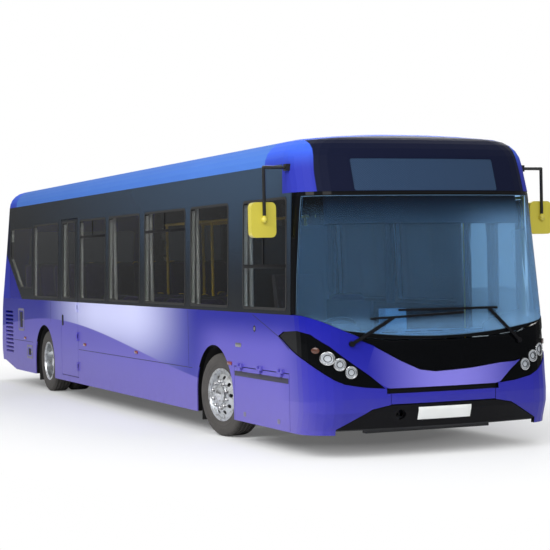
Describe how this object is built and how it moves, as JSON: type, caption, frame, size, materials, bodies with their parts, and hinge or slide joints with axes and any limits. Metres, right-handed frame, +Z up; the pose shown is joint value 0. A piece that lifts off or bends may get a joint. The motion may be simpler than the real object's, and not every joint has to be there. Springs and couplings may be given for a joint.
{
  "type": "city bus",
  "caption": "Low-floor single-deck city bus with a bowed windscreen, dark window band, gliding entrance doors, steered front wheels and twin rear wheels.",
  "frame": {"origin": "on the road, under the middle of the body between the bumpers and between the mirrors", "axes": "+X forward, +Y to the nearside where the entrance is, +Z up"},
  "size_m": [11.8, 3.071, 2.87],
  "materials": {
    "violet_paint": "gloss",
    "dome_paint": "gloss",
    "blue_paint": "gloss",
    "dark_band": "gloss",
    "glass": "gloss",
    "lamp_glass": "gloss",
    "red_lens": "gloss",
    "steel": "matte",
    "floor": "matte",
    "liner": "matte",
    "tyre": "matte",
    "rim": "gloss",
    "door_frame": "satin",
    "yellow": "satin",
    "seat": "matte"
  },
  "bodies": {
    "body": {"chassis_frame": "steel", "floor_deck": "floor", "wheel_boxes": "liner", "mud_flaps": "liner", "engine": "steel", "right_skirt": "violet_paint", "left_skirt": "violet_paint", "right_window_frame": "dark_band", "left_window_frame": "dark_band", "right_windows_glass": "glass", "left_windows_glass": "glass", "cove_panels": "dark_band", "roof_panel": "blue_paint", "front_frame": "steel", "front_corners": "violet_paint", "front_panel": "violet_paint", "front_hood": "dark_band", "front_bumper": "violet_paint", "front_valance": "dark_band", "front_dome": "dome_paint", "destination_glass": "dark_band", "windscreen": "glass", "windscreen_wipers": "liner", "headlamp_housings": "dark_band", "headlamps": "lamp_glass", "mirrors": "yellow", "rear_corners": "violet_paint", "rear_bumper": "violet_paint", "rear_dome": "dome_paint", "rear_window_glass": "glass", "rear_lamp_lenses": "red_lens", "passenger_seats": "seat", "handrails": "yellow", "dashboard": "floor", "cab_partition": "floor", "driver_seat": "seat", "steering_wheel": "liner", "front_axle": "steel", "rear_axle": "steel"},
    "steering_knuckle_left": {"knuckle_left": "steel"},
    "steering_knuckle_right": {"knuckle_right": "steel"},
    "front_wheel_left": {"front_rim_left": "rim", "front_tyre_left": "tyre"},
    "front_wheel_right": {"front_rim_right": "rim", "front_tyre_right": "tyre"},
    "rear_wheels_left": {"rear_rims_left": "rim", "rear_tyres_left": "tyre"},
    "rear_wheels_right": {"rear_rims_right": "rim", "rear_tyres_right": "tyre"},
    "escape_door": {"escape_door_leaf": "violet_paint", "escape_door_glass": "glass"},
    "locker": {"locker_door": "violet_paint"},
    "engine_lid": {"engine_cover": "violet_paint"},
    "door_post_rear": {"entrance_post_rear": "yellow"},
    "door_post_front": {"entrance_post_front": "yellow"},
    "door_leaf_rear": {"entrance_leaf_rear": "door_frame", "entrance_pane_rear": "glass"},
    "door_leaf_front": {"entrance_leaf_front": "door_frame", "entrance_pane_front": "glass"}
  },
  "joints": [
    {"name": "steer_left", "type": "hinge", "parent": "body", "child": "steering_knuckle_left", "pos_m": [3.42, 0.966, 0.412], "axis": [0, 0, 1], "range_deg": [-55, 35]},
    {"name": "steer_right", "type": "hinge", "parent": "body", "child": "steering_knuckle_right", "pos_m": [3.42, -0.966, 0.412], "axis": [0, 0, 1], "range_deg": [-55, 35]},
    {"name": "front_spin_left", "type": "hinge", "parent": "steering_knuckle_left", "child": "front_wheel_left", "pos_m": [3.40437, 1.05463, 0.412], "axis": [-0.1736, 0.9848, 0], "continuous": true},
    {"name": "front_spin_right", "type": "hinge", "parent": "steering_knuckle_right", "child": "front_wheel_right", "pos_m": [3.43563, -1.05463, 0.412], "axis": [-0.1736, 0.9848, 0], "continuous": true},
    {"name": "rear_spin_left", "type": "hinge", "parent": "body", "child": "rear_wheels_left", "pos_m": [-3.18, 1.056, 0.412], "axis": [0, 1, 0], "continuous": true},
    {"name": "rear_spin_right", "type": "hinge", "parent": "body", "child": "rear_wheels_right", "pos_m": [-3.18, -1.056, 0.412], "axis": [0, 1, 0], "continuous": true},
    {"name": "entrance", "type": "hinge", "parent": "body", "child": "door_post_rear", "pos_m": [4.214, 1.172, 1.3], "axis": [0, 0, -1], "range_deg": [0, 84]},
    {"name": "entrance_front", "type": "hinge", "parent": "body", "child": "door_post_front", "pos_m": [5.311, 1.172, 1.3], "axis": [0, 0, 1], "range_deg": [0, 84]},
    {"name": "leaf_rear_pivot", "type": "hinge", "parent": "door_post_rear", "child": "door_leaf_rear", "pos_m": [4.47625, 1.172, 1.3], "axis": [0, 0, 1], "range_deg": [0, 168]},
    {"name": "leaf_front_pivot", "type": "hinge", "parent": "door_post_front", "child": "door_leaf_front", "pos_m": [5.04875, 1.172, 1.3], "axis": [0, 0, -1], "range_deg": [0, 168]},
    {"name": "escape_hinge", "type": "hinge", "parent": "body", "child": "escape_door", "pos_m": [-1.501, -1.241, 1.2], "axis": [0, 0, 1], "range_deg": [0, 100]},
    {"name": "locker_hinge", "type": "hinge", "parent": "body", "child": "locker", "pos_m": [4.626, -1.241, 0.726], "axis": [-1, 0, 0], "range_deg": [0, 95]},
    {"name": "engine_hinge", "type": "hinge", "parent": "body", "child": "engine_lid", "pos_m": [-5.752, 0, 1.429], "axis": [0, 1, 0], "range_deg": [0, 75]}
  ],
  "couplings": [
    {"joint": "steer_right", "follows": "steer_left", "ratio": 1},
    {"joint": "entrance_front", "follows": "entrance", "ratio": 1},
    {"joint": "leaf_rear_pivot", "follows": "entrance", "ratio": 2},
    {"joint": "leaf_front_pivot", "follows": "entrance", "ratio": 2}
  ]
}
